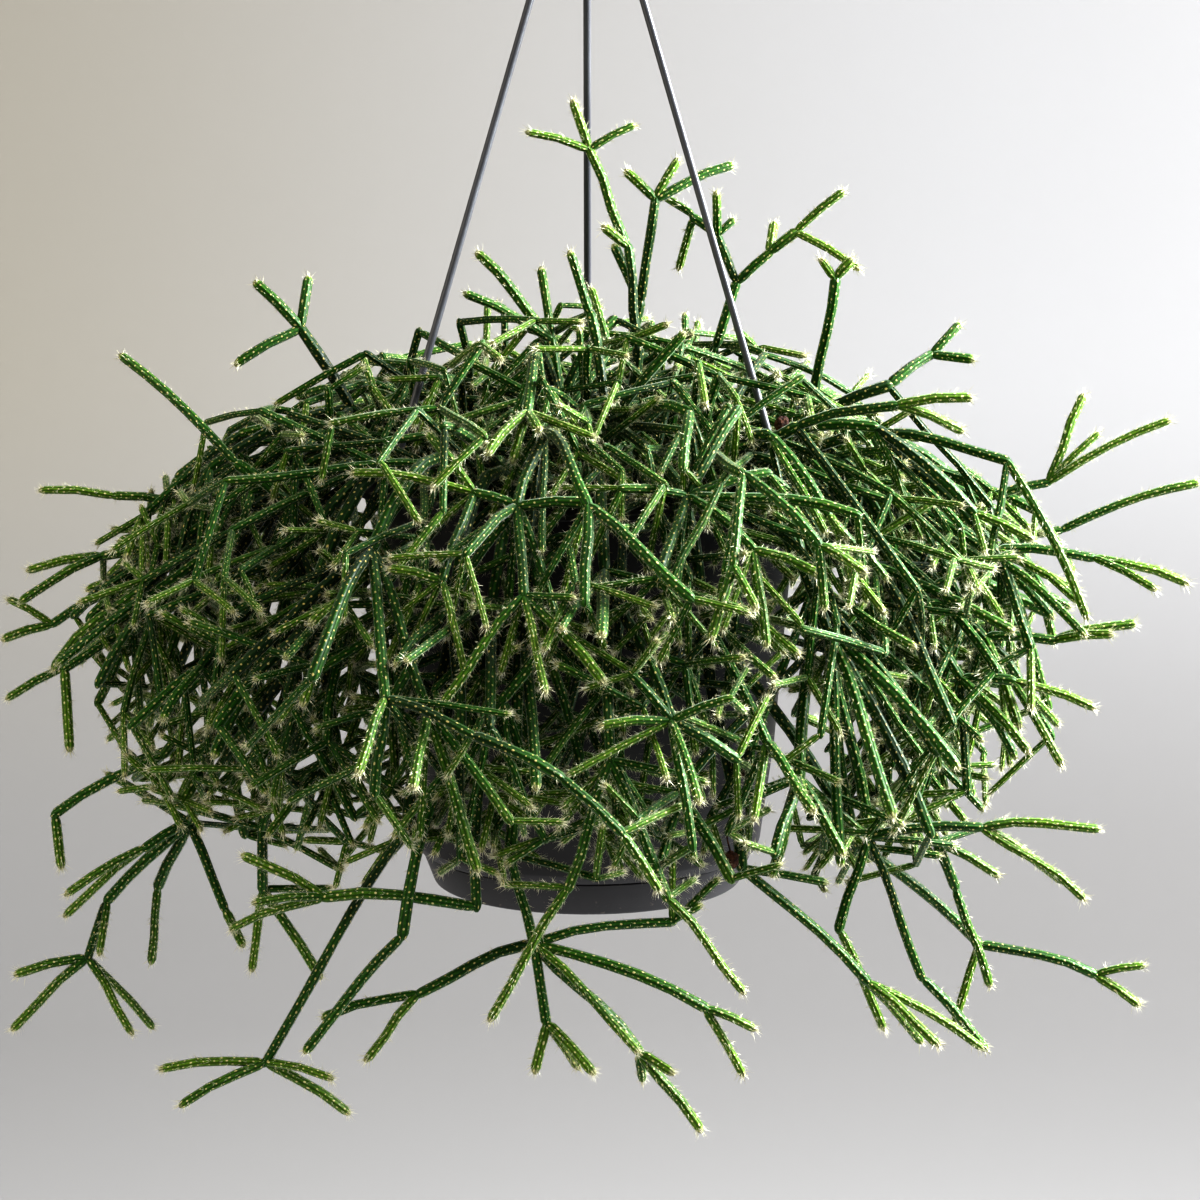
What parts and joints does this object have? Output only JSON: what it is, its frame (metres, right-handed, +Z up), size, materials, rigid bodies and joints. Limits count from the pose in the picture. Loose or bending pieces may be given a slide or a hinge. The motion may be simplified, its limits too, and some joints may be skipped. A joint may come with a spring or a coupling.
{
  "type": "hanging potted rhipsalis",
  "caption": "Trailing cactus with whorled, bristly cylindrical stems in a round hanging pot with saucer, legs and hook.",
  "frame": {"origin": "the point inside the top of the hook, where it bears on what it hangs from, on the pot's axis", "axes": "+Z is up along the pot's axis, the front of the plant faces -Y, and the hook opens towards -X"},
  "size_m": [0.4249, 0.3866, 0.4438],
  "materials": {
    "pot": "satin",
    "hanger": "satin",
    "soil": "rough",
    "stem": "matt, bristly",
    "dried_flower": "crumpled"
  },
  "bodies": {
    "root": {"saucer": "pot", "pot": "pot", "soil": "soil", "hanger_hook": "hanger", "hanger_leg_back": "hanger", "hanger_leg_left": "hanger", "hanger_leg_right": "hanger", "stem_tall_spire": "stem", "stem_back_spire": "stem", "stem_right_top": "stem", "stem_right_upright": "stem", "stem_left_top_fork": "stem", "stem_left_spike": "stem", "stem_crown_fork": "stem", "stem_crown_front": "stem", "stem_right_crown_tip": "stem", "stem_right_front_arm": "stem", "stem_right_middle_arm": "stem", "stem_right_long_fork": "stem", "stem_right_far_arm": "stem", "stem_right_level_arm": "stem", "stem_right_low_arm": "stem", "stem_right_low_spray": "stem", "stem_left_far_arm": "stem", "stem_left_level_arm": "stem", "stem_left_bent_arm": "stem", "stem_left_outer_tip": "stem", "stem_left_drop": "stem", "stem_left_low_spray": "stem", "stem_front_left_long": "stem", "stem_front_left_arm": "stem", "stem_front_low_spray": "stem", "stem_front_right_arm": "stem", "stem_right_hanging_arm": "stem", "stem_right_low_fan": "stem", "stem_front_left_drop": "stem", "stem_front_middle_drop": "stem", "stem_front_crown_fork": "stem", "stem_front_01": "stem", "stem_front_02": "stem", "stem_back_01": "stem", "stem_back_02": "stem", "stem_back_03": "stem", "stem_back_04": "stem", "stem_back_05": "stem", "stem_back_06": "stem", "stem_back_07": "stem", "stem_back_08": "stem", "stem_back_09": "stem", "stem_back_10": "stem", "stem_back_11": "stem", "stem_back_12": "stem", "stem_crown_01": "stem", "stem_crown_02": "stem", "stem_crown_04": "stem", "stem_crown_05": "stem", "stem_crown_06": "stem", "dried_flower_low": "dried_flower", "dried_flower_middle": "dried_flower", "dried_flower_high": "dried_flower"}
  },
  "joints": []
}
